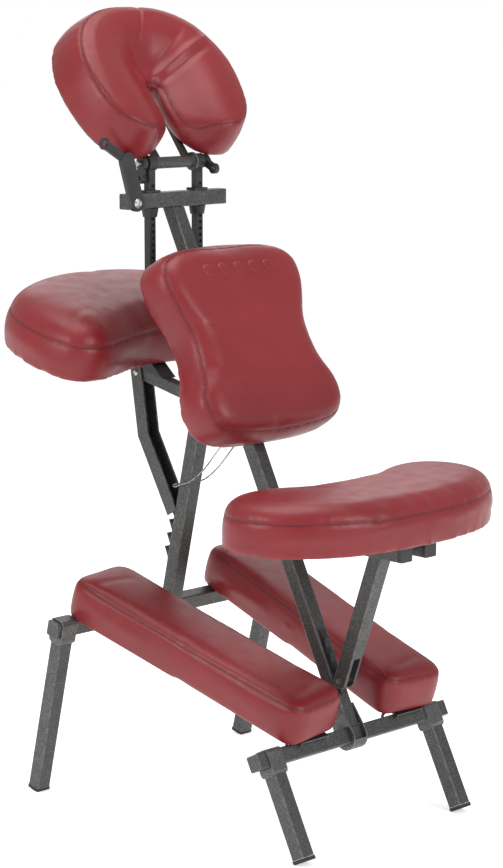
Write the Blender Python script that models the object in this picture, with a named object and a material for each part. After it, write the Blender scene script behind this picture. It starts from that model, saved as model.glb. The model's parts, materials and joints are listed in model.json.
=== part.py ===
"""Portable massage chair: a folding A-frame of square tube with six upholstered pads.

Metres, +Z up. +Y is the way the sitter faces, +X is the sitter's right, z = 0 is the floor.
The frame's side view is laid out in the (y, z) plane; DATUM_Y centres the whole chair on y = 0.
"""
import math

import bmesh
import bpy
from mathutils import Matrix, Vector

# ---------------------------------------------------------------- driving dimensions
DATUM_Y = -0.0423          # shift that centres the chair's box on y = 0
TUBE = 0.0250              # square tube, outside
HALF = TUBE / 2
SLIM = 0.0200              # smaller tube of the armrest
GAP = 0.0003               # gap between touching pieces
SHEET = 0.0025             # bracket plate
CLEAR = 0.0003 + HALF      # inner half-width of a bracket around the tube

REAR_BAR = (-0.2088, 0.1477)       # rear crossbar centre (y, z)
REAR_BAR_LENGTH = 0.4240
REAR_LEG_X = 0.1784
REAR_LEAN = math.radians(27.4)     # rear legs, foot to the rear
FRONT_BAR = (0.2079, 0.2869)
FRONT_BAR_LENGTH = 0.5130
FRONT_LEG_X = 0.2326
FRONT_LEAN = math.radians(13.8)    # front legs, foot to the front
TOP_BAR = (0.1950, 0.9638)
TOP_BAR_LENGTH = 0.2120
APEX = (0.0984, 0.7572)            # where post and spine centre lines meet
SPINE_ANGLE = math.radians(63.25)  # above the horizontal
POST_ANGLE = math.radians(103.1)
FOLD_OFFSET = 0.0300               # fold pin, in front of the spine's axis

SHIN_LIFT = (0.0215, 0.0142)       # underside of a shin pad above the rear and front bar axes
SHIN_LENGTH = 0.4850
SHIN_WIDTH = 0.1300
SHIN_THICK = 0.0700
SHIN_OVERHANG = 0.0120             # rear end past the rear crossbar's axis
SHIN_REAR_X = (-0.0960, 0.1200)    # left and right pad, middle of the rear end
SHIN_FRONT_X = (-0.1620, 0.1500)   # left and right pad, middle of the front end

SEAT_PIN = (-0.0495, 0.4625)
SEAT_RAIL_X = 0.0270
SEAT_RAIL_END = -0.3370            # y of the rails' rear ends
SEAT_CAP = 0.0080
SEAT_THICK = 0.0720
STRUT_PIN = (-0.2740, 0.4625)
STRUT_LENGTH = 0.2420
STRUT_STANDOFF = 0.0260            # strut foot pin from the spine's axis
SEAT_HOOK_PITCH = 0.0245

ARM_PIN = (0.1500, 0.6450)         # armrest hinge in front of the post
ARM_FRONT_PIN = (0.2760, 0.6720)   # strut hinge at the rail's front end
ARM_STRUT_LENGTH = 0.2300
ARM_STANDOFF = 0.0260
ARM_HOOK_PITCH = 0.0240
ARM_TOOTH = 0.0262                 # tips of the armrest's hooks from the post's axis
ARM_TILT = math.radians(14.0)
ARM_ORIGIN = (0.1990, 0.6820)      # rear edge of the armrest's underside
ARM_THICK = 0.0860

CHEST_SPAN = (0.4780, 0.8000)      # along the spine from the rear crossbar
CHEST_BACK = 0.0200                # pad's back from the spine's axis
CHEST_THICK = 0.0720
SLEEVES = (0.5650, 0.7350)         # sleeve centres along the spine
SLEEVE_LENGTH = 0.0260

TILT_PIN = (0.1950, 1.0230)        # face cradle's pivot
RACK_X = 0.0520
RACK_SIZE = 0.0130
RACK_BOTTOM = 0.8280
CRADLE_TILT = math.radians(50.0)
CRADLE_ORIGIN = (0.1950, 1.0400)   # on the pad's plane, near its lower ends
CRADLE_THICK = 0.0750
CRADLE_SHIFT = 0.0040              # the pad sits a little to the right on its plate
LEVER_HUB = (-0.0960, 0.9620)      # height lock's screw in the top crossbar (x, z)

# ---------------------------------------------------------------- scene and materials


def clear_scene():
    """Remove every object that the file came with."""
    for thing in list(bpy.data.objects):
        bpy.data.objects.remove(thing, do_unlink=True)


def new_collection(name):
    """A collection linked to the scene."""
    group = bpy.data.collections.new(name)
    bpy.context.scene.collection.children.link(group)
    return group


def make_material(name, colour, roughness, metallic=0.0):
    """A Principled BSDF material."""
    material = bpy.data.materials.new(name)
    material.use_nodes = True
    shader = material.node_tree.nodes["Principled BSDF"]
    shader.inputs["Base Color"].default_value = (*colour, 1.0)
    shader.inputs["Roughness"].default_value = roughness
    shader.inputs["Metallic"].default_value = metallic
    material.diffuse_color = (*colour, 1.0)
    return material


clear_scene()
PARTS = new_collection("massage_chair")
CUTTERS = new_collection("cutters")
FRAME_PAINT = make_material("hammertone_grey", (0.110, 0.110, 0.105), 0.42, 0.65)
BRIGHT = make_material("bright_steel", (0.550, 0.550, 0.540), 0.30, 1.00)
PLASTIC = make_material("black_plastic", (0.012, 0.012, 0.013), 0.45)
RUBBER = make_material("black_rubber", (0.015, 0.015, 0.015), 0.80)
VINYL = make_material("burgundy_vinyl", (0.230, 0.035, 0.045), 0.38)
BOARD = make_material("dark_board", (0.045, 0.035, 0.032), 0.70)

# ---------------------------------------------------------------- side-view geometry


def place(y, z, x=0.0):
    """A world point from a side-view one."""
    return Vector((x, y + DATUM_Y, z))


def along(start, angle, distance, offset=0.0):
    """Go along a line at an angle above +Y, then offset to its left (up and to the rear)."""
    y = start[0] + distance * math.cos(angle) - offset * math.sin(angle)
    z = start[1] + distance * math.sin(angle) + offset * math.cos(angle)
    return (y, z)


def on_spine(distance, offset=0.0):
    """A point at a distance up the spine, offset to its rear face's side."""
    return along(REAR_BAR, SPINE_ANGLE, distance, offset)


def on_post(distance, offset=0.0):
    """A point at a distance up the front post, offset to its front."""
    return along(FRONT_BAR, POST_ANGLE, distance, -offset)


def angle_of(start, end):
    """Angle of a side-view line above +Y."""
    return math.atan2(end[1] - start[1], end[0] - start[0])


def rounded_bar_outline(start, end, half, end_arc=8):
    """Side view of a bar with round ends about its two pins."""
    angle = angle_of(start, end)
    points = []
    for centre, base in ((end, angle - math.pi / 2), (start, angle + math.pi / 2)):
        for step in range(end_arc + 1):
            turn = base + math.pi * step / end_arc
            points.append((centre[0] + half * math.cos(turn), centre[1] + half * math.sin(turn)))
    return points


def circle_outline(centre, radius, steps=24):
    """A circle in the side view."""
    return [(centre[0] + radius * math.cos(2 * math.pi * step / steps),
             centre[1] + radius * math.sin(2 * math.pi * step / steps)) for step in range(steps)]


# The fold pin lies on the post's axis, FOLD_OFFSET in front of the spine's axis.
FOLD_PIN = along(APEX, POST_ANGLE, -FOLD_OFFSET / math.sin(POST_ANGLE - SPINE_ANGLE))
FOLD_PIN_UP_SPINE = ((FOLD_PIN[0] - REAR_BAR[0]) * math.cos(SPINE_ANGLE)
                     + (FOLD_PIN[1] - REAR_BAR[1]) * math.sin(SPINE_ANGLE))


def strut_foot(pin, base, angle, length, standoff, side):
    """Foot of a strut of a given length, standing off from a line through base."""
    run_y = pin[0] - base[0]
    run_z = pin[1] - base[1]
    up = run_y * math.cos(angle) + run_z * math.sin(angle)
    out = side * (-run_y * math.sin(angle) + run_z * math.cos(angle))
    reach = up - math.sqrt(length ** 2 - (out - standoff) ** 2)
    return reach, along(base, angle, reach, side * standoff)


SEAT_FOOT_UP, SEAT_FOOT = strut_foot(STRUT_PIN, REAR_BAR, SPINE_ANGLE, STRUT_LENGTH, STRUT_STANDOFF, 1)
ARM_FOOT_UP, ARM_FOOT = strut_foot(ARM_FRONT_PIN, FRONT_BAR, POST_ANGLE, ARM_STRUT_LENGTH,
                                   ARM_STANDOFF, -1)

# ---------------------------------------------------------------- object builders
SIDE_VIEW = Matrix(((0, 0, 1), (1, 0, 0), (0, 1, 0)))  # local x, y, z become world y, z, x


def link(thing, material, group=None):
    """Put an object in its collection, with its material."""
    (group or PARTS).objects.link(thing)
    if material:
        thing.data.materials.clear()
        thing.data.materials.append(material)
    return thing


def as_mesh(thing, name, material, group=None):
    """Turn a curve object into a welded mesh object and remove the curve."""
    bpy.context.view_layer.update()
    graph = bpy.context.evaluated_depsgraph_get()
    mesh = bpy.data.meshes.new_from_object(thing.evaluated_get(graph), depsgraph=graph)
    matrix = thing.matrix_world.copy()
    bpy.data.objects.remove(thing, do_unlink=True)
    work = bmesh.new()
    work.from_mesh(mesh)
    bmesh.ops.remove_doubles(work, verts=work.verts, dist=0.00001)
    bmesh.ops.recalc_face_normals(work, faces=work.faces)
    work.to_mesh(mesh)
    work.free()
    solid = bpy.data.objects.new(name, mesh)
    mesh.name = name
    solid.matrix_world = matrix
    return link(solid, material, group)


def box(name, size, location, rotation=None, material=None, group=None, long_axis=None, radius=0.0):
    """A box; with long_axis its four edges along that axis are rounded."""
    mesh = bpy.data.meshes.new(name)
    work = bmesh.new()
    bmesh.ops.create_cube(work, size=1.0)
    bmesh.ops.scale(work, vec=size, verts=work.verts)
    if long_axis is not None:
        others = [axis for axis in range(3) if axis != long_axis]
        edges = [edge for edge in work.edges
                 if all(abs(edge.verts[0].co[axis] - edge.verts[1].co[axis]) < 1e-6 for axis in others)]
        bmesh.ops.bevel(work, geom=edges, offset=radius, segments=2, profile=0.5, affect="EDGES")
    work.to_mesh(mesh)
    work.free()
    solid = bpy.data.objects.new(name, mesh)
    solid.location = location
    if rotation:
        solid.rotation_euler = rotation
    return link(solid, material, group)


def tube(name, start, end, section=TUBE, material=None, x=0.0, width=None):
    """A square tube between two side-view points."""
    length = math.dist(start, end)
    middle = ((start[0] + end[0]) / 2, (start[1] + end[1]) / 2)
    turn = (angle_of(start, end), 0, 0)
    return box(name, (width or section, length, section), place(*middle, x), turn, material,
               long_axis=1, radius=0.0022)


def crossbar(name, centre, length, lean, material):
    """A square tube along X, turned with the legs under it."""
    return box(name, (length, TUBE, TUBE), place(*centre), (lean, 0, 0), material,
               long_axis=0, radius=0.0022)


def prism(name, outline, x_from, x_to, material=None, group=None, holes=(), bevel=0.0):
    """A side-view outline given a thickness along X."""
    curve = bpy.data.curves.new(name, "CURVE")
    curve.dimensions = "2D"
    curve.fill_mode = "BOTH"
    curve.extrude = abs(x_to - x_from) / 2 - bevel
    curve.bevel_depth = bevel
    curve.bevel_resolution = 1
    curve.offset = -bevel
    for loop in (outline, *holes):
        spline = curve.splines.new("POLY")
        spline.points.add(len(loop) - 1)
        for point, (y, z) in zip(spline.points, loop):
            point.co = (y + DATUM_Y, z, 0, 1)
        spline.use_cyclic_u = True
    guide = bpy.data.objects.new(name, curve)
    (group or PARTS).objects.link(guide)
    guide.matrix_world = Matrix.Translation(((x_from + x_to) / 2, 0, 0)) @ SIDE_VIEW.to_4x4()
    return as_mesh(guide, name, material, group)


def rod(name, centre, x_from, x_to, radius, material=None, group=None, steps=20):
    """A round bar along X."""
    mesh = bpy.data.meshes.new(name)
    work = bmesh.new()
    bmesh.ops.create_cone(work, cap_ends=True, segments=steps, radius1=radius, radius2=radius,
                          depth=abs(x_to - x_from))
    work.to_mesh(mesh)
    work.free()
    solid = bpy.data.objects.new(name, mesh)
    solid.location = place(*centre, (x_from + x_to) / 2)
    solid.rotation_euler = (0, math.pi / 2, 0)
    link(solid, material, group)
    mesh.shade_smooth()
    mesh.set_sharp_from_angle(angle=math.radians(40))
    return solid


def combine(target, tools, operation="DIFFERENCE"):
    """Cut or join with an exact Boolean; the tools become hidden guides."""
    for tool in tools:
        for group in list(tool.users_collection):
            group.objects.unlink(tool)
        CUTTERS.objects.link(tool)
        tool.hide_render = True
        tool.display_type = "WIRE"
        modifier = target.modifiers.new("cut", "BOOLEAN")
        modifier.object = tool
        modifier.operation = operation
        modifier.solver = "EXACT"
    return target


def pivot(name, centre, x=0.0):
    """An empty on a joint's axis."""
    empty = bpy.data.objects.new(name, None)
    empty.empty_display_size = 0.03
    empty.location = place(*centre, x)
    PARTS.objects.link(empty)
    return empty


def hang(axis, *things):
    """Parent objects to a pivot without moving them."""
    bpy.context.view_layer.update()
    for thing in things:
        thing.parent = axis
        thing.matrix_parent_inverse = axis.matrix_world.inverted()


# ---------------------------------------------------------------- legs and crossbars


def leg_end(centre, lean, distance):
    """A point down a leg from the crossbar; a positive lean puts the foot to the rear."""
    return (centre[0] - distance * math.sin(lean), centre[1] - distance * math.cos(lean))


def floor_cutter(name):
    """Everything under the floor."""
    return box(name, (1.0, 1.2, 0.1), (0, 0, -0.05), material=None)


def trestle(prefix, centre, bar_length, leg_x, lean):
    """A crossbar with two legs, the sockets that join them, and their rubber feet."""
    foot_thick = 0.0060
    socket_wall = 0.0023
    socket_drop = 0.0260
    bar = crossbar(prefix + "_crossbar", centre, bar_length, -lean, FRAME_PAINT)
    reach = (centre[1] - HALF * math.sin(abs(lean)) + 0.0015) / math.cos(lean)
    pieces = [bar]
    for side, sign in (("left", -1), ("right", 1)):
        x = sign * leg_x
        top = leg_end(centre, lean, HALF + GAP)
        ankle = leg_end(centre, lean, reach - foot_thick - GAP)
        leg = tube(f"{prefix}_leg_{side}", ankle, top, material=FRAME_PAINT, x=x)
        foot = box(f"{prefix}_foot_{side}", (TUBE, TUBE, foot_thick),
                   place(*leg_end(centre, lean, reach - foot_thick / 2), x), (-lean, 0, 0), RUBBER)
        combine(foot, [floor_cutter(f"{prefix}_floor_{side}")])
        outer = HALF + GAP + socket_wall
        height = outer + socket_drop
        middle = leg_end(centre, lean, (socket_drop - outer) / 2)
        socket = box(f"{prefix}_socket_{side}", (2 * outer, 2 * outer, height),
                     place(*middle, x), (-lean, 0, 0), FRAME_PAINT, long_axis=0, radius=0.006)
        bar_room = box(f"{prefix}_bar_room_{side}", (0.08, 2 * CLEAR, 2 * CLEAR), place(*centre, x),
                       (-lean, 0, 0))
        leg_room = box(f"{prefix}_leg_room_{side}", (2 * CLEAR, 2 * CLEAR, 0.1),
                       place(*leg_end(centre, lean, 0.05), x), (-lean, 0, 0))
        combine(socket, [bar_room, leg_room])
        pieces += [leg, foot, socket]
    return pieces


# ---------------------------------------------------------------- spine side of the frame


def bar_cutter(name, centre, lean, length=0.2):
    """The room that a crossbar takes out of a tube that meets it."""
    return box(name, (length, 2 * CLEAR, 2 * CLEAR), place(*centre), (-lean, 0, 0))


def coped_foot(name, centre, angle, lean, x_half, reach=0.0480):
    """A cheek bracket that joins a tube to the middle of a crossbar."""
    belly = 0.0215
    outline = []
    for step in range(17):
        turn = angle + math.pi / 2 + math.pi * step / 16
        outline.append((centre[0] + belly * math.cos(turn), centre[1] + belly * math.sin(turn)))
    outline.append(along(centre, angle, reach, -HALF))
    outline.append(along(centre, angle, reach, HALF))
    bracket = prism(name, outline, -x_half, x_half, FRAME_PAINT)
    slot = box(name + "_slot", (2 * CLEAR, 0.2, 0.1), place(*along(centre, angle, 0.1 - 0.010)),
               (angle, 0, 0))
    combine(bracket, [bar_cutter(name + "_bar", centre, lean), slot])
    return bracket


def hook_strip(name, base, angle, side, first, pitch, crest, half_width):
    """A strip of saw teeth on a tube's face; side is 1 for the left of the line, -1 for the right."""
    floor_height = HALF + GAP
    land = floor_height + 0.0025
    tooth = 0.0110
    count = 4
    outline = [along(base, angle, first - tooth - 0.008, side * floor_height),
               along(base, angle, first + pitch * (count - 1) + 0.014, side * floor_height),
               along(base, angle, first + pitch * (count - 1) + 0.014, side * land)]
    for index in reversed(range(count)):
        low = first + pitch * index - 0.0045
        outline.append(along(base, angle, low, side * land))
        outline.append(along(base, angle, low + 0.004, side * crest))
        outline.append(along(base, angle, low - tooth, side * land))
    outline.append(along(base, angle, first - tooth - 0.008, side * land))
    return prism(name, outline, -half_width, half_width, PLASTIC)


def build_spine():
    """The long tube from the rear crossbar to the top crossbar, and what is fixed to it."""
    top = along(REAR_BAR, SPINE_ANGLE, (TOP_BAR[1] - REAR_BAR[1]) / math.sin(SPINE_ANGLE))
    spine = tube("spine_tube", REAR_BAR, top, material=FRAME_PAINT)
    top_room = box("spine_top_cut", (0.1, 0.1, 0.1),
                   place(TOP_BAR[0], TOP_BAR[1] - HALF - GAP + 0.05))
    combine(spine, [bar_cutter("spine_bar_cut", REAR_BAR, REAR_LEAN), top_room,
                    rod("seat_pin_room", SEAT_PIN, -0.05, 0.05, 0.0043)])
    bracket = coped_foot("spine_foot_bracket", REAR_BAR, SPINE_ANGLE, REAR_LEAN, CLEAR + SHEET)
    hooks = hook_strip("seat_hook_strip", REAR_BAR, SPINE_ANGLE, 1, SEAT_FOOT_UP, SEAT_HOOK_PITCH,
                       0.0205, 0.0060)
    return [spine, bracket, hooks]


def build_fold_hinge():
    """The clevis on the spine's front face and the pin that the front post folds about."""
    cheek_from = CLEAR
    cheek_to = CLEAR + 0.003
    low = FOLD_PIN_UP_SPINE - 0.0150
    high = FOLD_PIN_UP_SPINE + 0.0150
    outline = [on_spine(low, 0.006), on_spine(low, -0.026)]
    for step in range(9):
        turn = SPINE_ANGLE - math.pi + math.pi * step / 8
        outline.append((FOLD_PIN[0] + 0.0120 * math.cos(turn), FOLD_PIN[1] + 0.0120 * math.sin(turn)))
    outline += [on_spine(high, -0.026), on_spine(high, 0.006)]
    clevis = prism("fold_clevis", outline, -cheek_to, cheek_to, FRAME_PAINT)
    spine_room = box("clevis_spine_room", (2 * cheek_from, 0.2, 2 * CLEAR),
                     place(*on_spine(FOLD_PIN_UP_SPINE)), (SPINE_ANGLE, 0, 0))
    post_room = box("clevis_post_room", (2 * cheek_from, 0.2, 0.1),
                    place(*on_spine(FOLD_PIN_UP_SPINE, -CLEAR - 0.0022 - 0.05)), (SPINE_ANGLE, 0, 0))
    combine(clevis, [spine_room, post_room, rod("clevis_bore", FOLD_PIN, -0.05, 0.05, 0.0043)])
    pin = rod("fold_pin", FOLD_PIN, -0.0210, 0.0210, 0.0040, BRIGHT)
    return [clevis, pin]


def build_top_bar():
    """The top crossbar with the two guide bushes that the racks slide in."""
    bar = crossbar("top_crossbar", TOP_BAR, TOP_BAR_LENGTH, 0.0, FRAME_PAINT)
    hole = 0.0170
    bushes = []
    for side, x in (("left", -RACK_X), ("right", RACK_X)):
        combine(bar, [box(f"rack_hole_{side}", (hole, hole, 0.1), place(*TOP_BAR, x))])
        body = box(f"guide_bush_{side}", (hole - 2 * GAP, hole - 2 * GAP, 0.036),
                   place(TOP_BAR[0], TOP_BAR[1] - 0.002, x), material=PLASTIC)
        flange = box(f"bush_flange_{side}", (0.0300, 0.0240, 0.0035),
                     place(TOP_BAR[0], TOP_BAR[1] + HALF + GAP + 0.00175, x), long_axis=2, radius=0.004)
        collar = bush_collar(f"bush_collar_{side}", x)
        combine(body, [flange, collar], "UNION")
        room = RACK_SIZE + 2 * GAP
        combine(body, [box(f"bush_bore_{side}", (room, room, 0.1), place(*TOP_BAR, x))])
        bushes.append(body)
    return [bar, *bushes]


def bush_collar(name, x):
    """The tapered lock under a guide bush."""
    mesh = bpy.data.meshes.new(name)
    work = bmesh.new()
    bmesh.ops.create_cone(work, cap_ends=True, segments=16, radius1=0.0115, radius2=0.0140, depth=0.014)
    work.to_mesh(mesh)
    work.free()
    solid = bpy.data.objects.new(name, mesh)
    solid.location = place(TOP_BAR[0], TOP_BAR[1] - HALF - GAP - 0.007, x)
    return link(solid, None)


def build_cable():
    """The steel lanyard that loops round the armrest strut's lug and runs back to the spine."""
    half_width = 0.0165
    eye = (ARM_FOOT[0] - 0.004, ARM_FOOT[1] + 0.028)
    route = [(0.0300, 0.6060), (0.0480, 0.5930), (0.0780, 0.5620), (0.1080, 0.5300),
             (0.1400, 0.5060), (eye[0] - 0.028, eye[1] + 0.006)]
    left = [Vector((-half_width, y + DATUM_Y, z)) for y, z in route]
    turn = [Vector((-half_width * math.cos(math.pi * step / 6),
                    eye[0] - 0.014 + half_width * math.sin(math.pi * step / 6) + DATUM_Y, eye[1]))
            for step in range(7)]
    right = [Vector((half_width, point.y, point.z)) for point in reversed(left)]
    curve = bpy.data.curves.new("lanyard_cable", "CURVE")
    curve.dimensions = "3D"
    curve.bevel_depth = 0.0012
    curve.bevel_resolution = 1
    curve.use_fill_caps = True
    spline = curve.splines.new("POLY")
    path = smooth_path([*left, *turn, *right], 3)
    spline.points.add(len(path) - 1)
    for point, position in zip(spline.points, path):
        point.co = (*position, 1)
    guide = bpy.data.objects.new("lanyard_cable", curve)
    PARTS.objects.link(guide)
    return as_mesh(guide, "lanyard_cable", BRIGHT)


def smooth_path(points, steps):
    """Points along a Catmull-Rom curve through the given ones."""
    path = []
    for index in range(len(points) - 1):
        before = points[max(index - 1, 0)]
        start = points[index]
        end = points[index + 1]
        after = points[min(index + 2, len(points) - 1)]
        for step in range(steps):
            t = step / steps
            path.append(0.5 * (2 * start + (end - before) * t
                               + (2 * before - 5 * start + 4 * end - after) * t ** 2
                               + (3 * start - before - 3 * end + after) * t ** 3))
    path.append(points[-1])
    return path


# ---------------------------------------------------------------- front frame


def build_post():
    """The front post from the front crossbar to the fold pin, with the armrest's fittings."""
    outline = rounded_bar_outline(FRONT_BAR, FOLD_PIN, HALF)
    post = prism("front_post", outline, -HALF, HALF, FRAME_PAINT, bevel=0.0015)
    combine(post, [bar_cutter("post_bar_cut", FRONT_BAR, -FRONT_LEAN),
                   rod("post_bore", FOLD_PIN, -0.05, 0.05, 0.0043)])
    hooks = hook_strip("armrest_hook_strip", FRONT_BAR, POST_ANGLE, -1,
                       ARM_FOOT_UP - 3 * ARM_HOOK_PITCH, ARM_HOOK_PITCH, ARM_TOOTH, 0.0095)
    return [post, hooks]


def build_arm_clevis():
    """The clevis on the post's front face that the armrest rail hinges in."""
    up = ((ARM_PIN[0] - FRONT_BAR[0]) * math.cos(POST_ANGLE)
          + (ARM_PIN[1] - FRONT_BAR[1]) * math.sin(POST_ANGLE))
    out = ((ARM_PIN[0] - FRONT_BAR[0]) * math.sin(POST_ANGLE)
           - (ARM_PIN[1] - FRONT_BAR[1]) * math.cos(POST_ANGLE))
    outline = [on_post(up - 0.022, CLEAR), on_post(up + 0.022, CLEAR), on_post(up + 0.010, out + 0.004),
               on_post(up + 0.004, out + 0.010), on_post(up - 0.004, out + 0.010),
               on_post(up - 0.010, out + 0.004)]
    inner = SLIM / 2 + 0.0006
    clevis = prism("armrest_clevis", outline, -inner - SHEET, inner + SHEET, FRAME_PAINT)
    rail_room = box("arm_clevis_room", (2 * inner, 0.1, 0.05), place(*on_post(up, CLEAR + 0.0014 + 0.025)),
                    (POST_ANGLE, 0, 0))
    combine(clevis, [rail_room, rod("arm_clevis_bore", ARM_PIN, -0.05, 0.05, 0.0033)])
    return [clevis]


# ---------------------------------------------------------------- cushions and boards


def smooth_outline(points, steps):
    """A closed Catmull-Rom outline through a few points."""
    count = len(points)
    outline = []
    for index in range(count):
        corners = [Vector(points[(index + shift) % count]) for shift in (-1, 0, 1, 2)]
        for step in range(steps):
            t = step / steps
            spot = 0.5 * (2 * corners[1] + (corners[2] - corners[0]) * t
                          + (2 * corners[0] - 5 * corners[1] + 4 * corners[2] - corners[3]) * t ** 2
                          + (3 * corners[1] - corners[0] - 3 * corners[2] + corners[3]) * t ** 3)
            outline.append((spot.x, spot.y))
    return outline


def mirrored(half):
    """A closed outline from its +X half, listed from the +Y end to the -Y end."""
    left = [(-x, y) for x, y in reversed(half) if x > 0]
    return [*half, *left]


def rounded_rectangle(width, length, radius, steps=4):
    """Outline of a rectangle with round corners, its near end at y = 0."""
    points = []
    for sign_x, sign_y, start in ((1, 1, 0), (-1, 1, 90), (-1, -1, 180), (1, -1, 270)):
        centre = (sign_x * (width / 2 - radius), length / 2 + sign_y * (length / 2 - radius))
        for step in range(steps + 1):
            turn = math.radians(start + 90 * step / steps)
            points.append((centre[0] + radius * math.cos(turn), centre[1] + radius * math.sin(turn)))
    return points


def plane_matrix(origin, tilt, x=0.0, yaw=0.0):
    """A pad's own frame: x across, y along the slope, z out of its top face."""
    return (Matrix.Translation(place(*origin, x)) @ Matrix.Rotation(tilt, 4, "X")
            @ Matrix.Rotation(yaw, 4, "Z"))


def slab(name, outline, matrix, low, high, material, edge=0.0, inset=0.0, segments=2, group=None):
    """A flat outline given a thickness in a pad's frame, with round edges."""
    curve = bpy.data.curves.new(name, "CURVE")
    curve.dimensions = "2D"
    curve.fill_mode = "BOTH"
    curve.extrude = (high - low) / 2 - edge
    curve.bevel_depth = edge
    curve.bevel_resolution = segments
    curve.offset = -edge - inset
    spline = curve.splines.new("POLY")
    spline.points.add(len(outline) - 1)
    for point, (x, y) in zip(spline.points, outline):
        point.co = (x, y, 0, 1)
    spline.use_cyclic_u = True
    guide = bpy.data.objects.new(name, curve)
    (group or PARTS).objects.link(guide)
    guide.matrix_world = matrix @ Matrix.Translation((0, 0, (high + low) / 2))
    return as_mesh(guide, name, material, group)


def cushion(name, outline, matrix, low, thickness, board, board_inset, edge=0.018):
    """A padded solid with a recess in its underside, and the board that fills the recess."""
    pad = slab(name, outline, matrix, low, low + thickness, VINYL, edge=edge)
    recess = slab(name + "_recess", outline, matrix, low - 0.01, low + 0.010 + GAP, None,
                  inset=board_inset - GAP)
    combine(pad, [recess])
    plate = slab(board, outline, matrix, low, low + 0.010, BOARD, inset=board_inset)
    return [pad, plate]


SEAT_OUTLINE = [(0.0, 0.133), (0.075, 0.139), (0.135, 0.154), (0.195, 0.156), (0.240, 0.128),
                (0.258, 0.078), (0.244, 0.020), (0.200, -0.028), (0.128, -0.064), (0.0, -0.080)]
CHEST_OUTLINE = [(0.0, 0.322), (0.095, 0.320), (0.140, 0.300), (0.150, 0.262), (0.142, 0.222),
                 (0.128, 0.176), (0.132, 0.126), (0.150, 0.072), (0.142, 0.028), (0.100, 0.006),
                 (0.0, 0.0)]
ARM_OUTLINE = [(0.0, 0.270), (0.060, 0.266), (0.120, 0.248), (0.172, 0.219), (0.208, 0.180),
               (0.226, 0.135), (0.231, 0.088), (0.228, 0.046), (0.216, 0.012), (0.190, -0.004),
               (0.160, -0.003), (0.120, 0.008), (0.075, 0.022), (0.035, 0.030), (0.0, 0.032)]
CRADLE_OUTLINE = [(0.0, 0.263), (0.074, 0.254), (0.133, 0.219), (0.167, 0.156), (0.170, 0.092),
                  (0.152, 0.028), (0.106, -0.008), (0.056, 0.000), (0.028, 0.028), (0.020, 0.066),
                  (0.022, 0.104), (0.013, 0.121), (0.0, 0.126)]


def build_shin(side, index):
    """One shin pad with its board and the clip that hinges it on the rear crossbar."""
    bars = math.dist(REAR_BAR, FRONT_BAR)
    slope = angle_of(REAR_BAR, FRONT_BAR) - math.asin((SHIN_LIFT[0] - SHIN_LIFT[1]) / bars)
    yaw = math.atan2(SHIN_REAR_X[index] - SHIN_FRONT_X[index], SHIN_LENGTH)
    start = along(REAR_BAR, slope, -SHIN_OVERHANG)
    matrix = plane_matrix(start, slope, SHIN_REAR_X[index], yaw)
    outline = rounded_rectangle(SHIN_WIDTH, SHIN_LENGTH, 0.030)
    pad, board = cushion(f"shin_pad_{side}", outline, matrix, SHIN_LIFT[0], SHIN_THICK,
                         f"shin_board_{side}", 0.022)
    clip = build_clip(f"shin_clip_{side}", slope, SHIN_REAR_X[index])
    return [pad, board, clip]


def build_clip(name, slope, x):
    """A channel under a shin board whose two forked ears straddle the rear crossbar."""
    half_width = 0.0300
    outer = 0.0215
    bore = 0.0182
    top = SHIN_LIFT[0] - GAP
    centre = REAR_BAR
    rear = 0.0100
    outline = [along(centre, slope, outer, top), along(centre, slope, -rear, top),
               along(centre, slope, -rear), along(centre, slope, outer)]
    clip = prism(name, outline, x - half_width, x + half_width, FRAME_PAINT)
    middle = box(name + "_middle", (2 * half_width - 0.006, 0.2, 0.1),
                 place(*along(centre, slope, 0.0, top - SHEET - 0.05), x), (slope, 0, 0))
    combine(clip, [rod(name + "_bore", centre, x - 0.05, x + 0.05, bore, steps=24), middle])
    return clip


def build_seat():
    """The seat pad on two rails that hinge on the spine."""
    underside = SEAT_PIN[1] + HALF + GAP
    matrix = plane_matrix((-0.294, underside), 0.0)
    pad, board = cushion("seat_pad", smooth_outline(mirrored(SEAT_OUTLINE), 3), matrix, 0.0, SEAT_THICK,
                         "seat_board", 0.024)
    pieces = [pad, board]
    for side, sign in (("left", -1), ("right", 1)):
        x = sign * SEAT_RAIL_X
        outline = rounded_bar_outline(SEAT_PIN, (SEAT_RAIL_END, SEAT_PIN[1]), HALF)
        rail = prism(f"seat_rail_{side}", outline, x - HALF, x + HALF, FRAME_PAINT, bevel=0.0015)
        end_cut = box(f"rail_end_cut_{side}", (0.1, 0.1, 0.1), place(SEAT_RAIL_END - 0.05, SEAT_PIN[1], x))
        combine(rail, [end_cut, rod(f"rail_pin_bore_{side}", SEAT_PIN, x - 0.05, x + 0.05, 0.0043)])
        cap = box(f"seat_rail_cap_{side}", (TUBE + 0.0006, SEAT_CAP, TUBE + 0.0002),
                  place(SEAT_RAIL_END - GAP - SEAT_CAP / 2, SEAT_PIN[1], x), material=PLASTIC,
                  long_axis=1, radius=0.002)
        pieces += [rail, cap]
    pieces.append(rod("seat_hinge_pin", SEAT_PIN, -0.0430, 0.0430, 0.0040, BRIGHT))
    return pieces


def build_seat_strut():
    """The strut that props the seat's rear on the spine's hooks."""
    strut = prism("seat_strut", rounded_bar_outline(STRUT_PIN, SEAT_FOOT, HALF), -HALF, HALF,
                  FRAME_PAINT, bevel=0.0015)
    angle = angle_of(SEAT_FOOT, STRUT_PIN)
    slot = box("strut_slot", (0.0150, 0.110, 0.06), place(*along(SEAT_FOOT, angle, -0.010)), (angle, 0, 0))
    combine(strut, [slot, rod("strut_foot_bore", SEAT_FOOT, -0.05, 0.05, 0.0043)])
    foot_pin = rod("seat_strut_foot_pin", SEAT_FOOT, -0.0160, 0.0160, 0.0040, BRIGHT)
    return [strut, foot_pin]


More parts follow.
